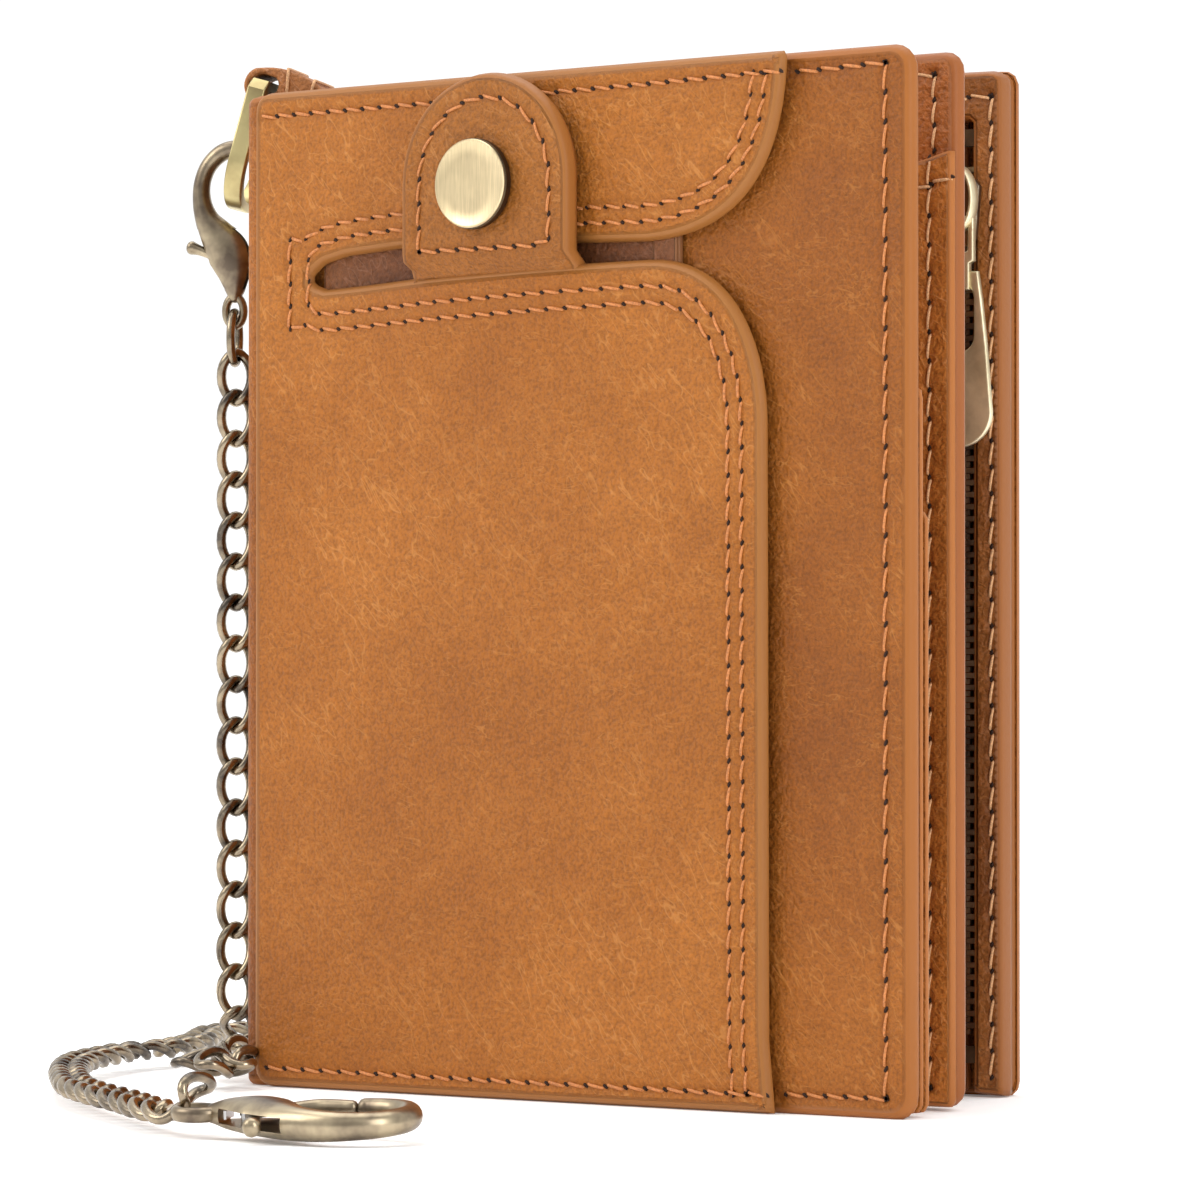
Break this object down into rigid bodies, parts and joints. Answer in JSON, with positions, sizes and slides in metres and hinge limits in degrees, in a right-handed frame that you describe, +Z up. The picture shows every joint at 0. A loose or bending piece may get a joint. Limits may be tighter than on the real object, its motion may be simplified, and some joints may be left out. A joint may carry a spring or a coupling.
{
  "type": "chain wallet",
  "caption": "Upright bifold leather wallet standing slightly open, with a snap tab over a card sleeve, a turning page, a zipped coin pocket, and a curb chain with trigger clasps.",
  "frame": {"origin": "middle of the footprint of the wallet without its chain, on the surface it stands on", "axes": "+Z up along the covers' height; the front cover's outer face looks along -Y; the spine is at -X"},
  "size_m": [0.1459, 0.132, 0.1249],
  "materials": {
    "tan_leather": "satin waxed grain",
    "dark_leather": "satin",
    "lining": "woven",
    "window_film": "clear film",
    "satin_brass": "brushed",
    "antique_brass": "antique, worn bright on the edges",
    "spring_steel": "plain"
  },
  "bodies": {
    "spine": {"spine_leather": "tan_leather", "spine_lining": "lining", "chain_loop_strap": "tan_leather", "chain_on_surface": "antique_brass"},
    "front_cover": {"front_cover_leather": "tan_leather", "front_overlay": "tan_leather", "card_sleeve": "dark_leather", "front_lining": "lining", "front_card_slot_1": "dark_leather", "front_card_slot_2": "dark_leather", "front_card_slot_3": "dark_leather", "snap_stud": "satin_brass"},
    "snap_tab": {"tab_leather": "tan_leather", "tab_lining": "dark_leather", "snap_cap": "satin_brass", "snap_socket": "satin_brass"},
    "middle_page": {"page_card_slot_1": "dark_leather", "page_card_slot_2": "dark_leather", "page_divider": "lining", "page_leather_back": "tan_leather", "page_leather_front": "tan_leather", "page_window": "window_film", "page_window_frame": "dark_leather"},
    "back_cover": {"back_card_slot": "dark_leather", "back_cover_leather": "tan_leather", "back_lining": "lining", "coin_pocket_panel": "tan_leather", "coin_pocket_strip": "tan_leather", "coin_pouch": "lining", "zip_bottom_stop": "antique_brass", "zip_tape_left": "lining", "zip_tape_right": "lining", "zip_teeth_left": "antique_brass", "zip_teeth_right": "antique_brass", "zip_top_stop": "antique_brass"},
    "zip_slider": {"zip_slider": "antique_brass"},
    "zip_pull": {"zip_pull": "antique_brass"},
    "d_ring": {"d_ring": "satin_brass"},
    "hanging_chain": {"chain_hanging": "antique_brass", "connecting_link": "antique_brass"},
    "upper_clasp": {"upper_clasp_body": "antique_brass", "upper_clasp_pin": "spring_steel", "upper_clasp_spring": "spring_steel"},
    "upper_trigger": {"upper_clasp_trigger": "antique_brass"},
    "lower_clasp": {"lower_clasp_body": "antique_brass", "lower_clasp_pin": "spring_steel", "lower_clasp_spring": "spring_steel"},
    "lower_trigger": {"lower_clasp_trigger": "antique_brass"}
  },
  "joints": [
    {"name": "front_cover_fold", "type": "hinge", "parent": "spine", "child": "front_cover", "pos_m": [-0.0419, -0.0171, 0.06], "axis": [0, 0, 1], "range_deg": [-28, 2]},
    {"name": "back_cover_fold", "type": "hinge", "parent": "spine", "child": "back_cover", "pos_m": [-0.05227, 0.00454, 0.06], "axis": [0, 0, 1], "range_deg": [-7.5, 100]},
    {"name": "middle_page_turn", "type": "hinge", "parent": "spine", "child": "middle_page", "pos_m": [-0.0434, -0.0034, 0.06], "axis": [0, 0, 1], "range_deg": [-3.5, 42]},
    {"name": "tab_lift", "type": "hinge", "parent": "front_cover", "child": "snap_tab", "pos_m": [-0.002, -0.0203, 0.0974], "axis": [1, 0, 0], "range_deg": [0, 100]},
    {"name": "zip_slide", "type": "slide", "parent": "back_cover", "child": "zip_slider", "axis": [0, 0, -1], "range_m": [-0.003, 0.072]},
    {"name": "zip_pull_flip", "type": "hinge", "parent": "zip_slider", "child": "zip_pull", "pos_m": [0.0385, 0.01623, 0.1042], "axis": [-0.9778, -0.2096, 0], "range_deg": [0, 10]},
    {"name": "chain_swing", "type": "hinge", "parent": "spine", "child": "hanging_chain", "pos_m": [-0.0525, -0.00887, 0.014], "axis": [0.4321, -0.9018, 0], "range_deg": [-0.5, 3.5]},
    {"name": "d_ring_swing", "type": "hinge", "parent": "spine", "child": "d_ring", "pos_m": [-0.04853, -0.00697, 0.1223], "axis": [0.4321, -0.9018, 0], "range_deg": [-19.5, 3]},
    {"name": "upper_clasp_turn", "type": "hinge", "parent": "hanging_chain", "child": "upper_clasp", "pos_m": [-0.05268, -0.00896, 0.0945], "axis": [0.4321, -0.9018, 0], "range_deg": [-3.6, 0.6]},
    {"name": "upper_trigger_press", "type": "hinge", "parent": "upper_clasp", "child": "upper_trigger", "pos_m": [-0.05268, -0.00896, 0.09968], "axis": [0.4321, -0.9018, 0], "range_deg": [0, 8.5], "stiffness_Nm_per_rad": 0.002, "springref_deg": -11.46},
    {"name": "lower_clasp_turn", "type": "hinge", "parent": "spine", "child": "lower_clasp", "pos_m": [0.0081, -0.0846, 0.00275], "axis": [0, 0, 1], "range_deg": [-25, 8]},
    {"name": "lower_trigger_press", "type": "hinge", "parent": "lower_clasp", "child": "lower_trigger", "pos_m": [0.01407, -0.08268, 0.00275], "axis": [-0.032, 0.0995, -0.9945], "range_deg": [0, 22], "stiffness_Nm_per_rad": 0.002, "springref_deg": -11.46}
  ],
  "couplings": [
    {"joint": "middle_page_turn", "follows": "back_cover_fold", "ratio": 0.4},
    {"joint": "d_ring_swing", "follows": "chain_swing", "ratio": -5.5},
    {"joint": "upper_clasp_turn", "follows": "chain_swing", "ratio": -1}
  ]
}
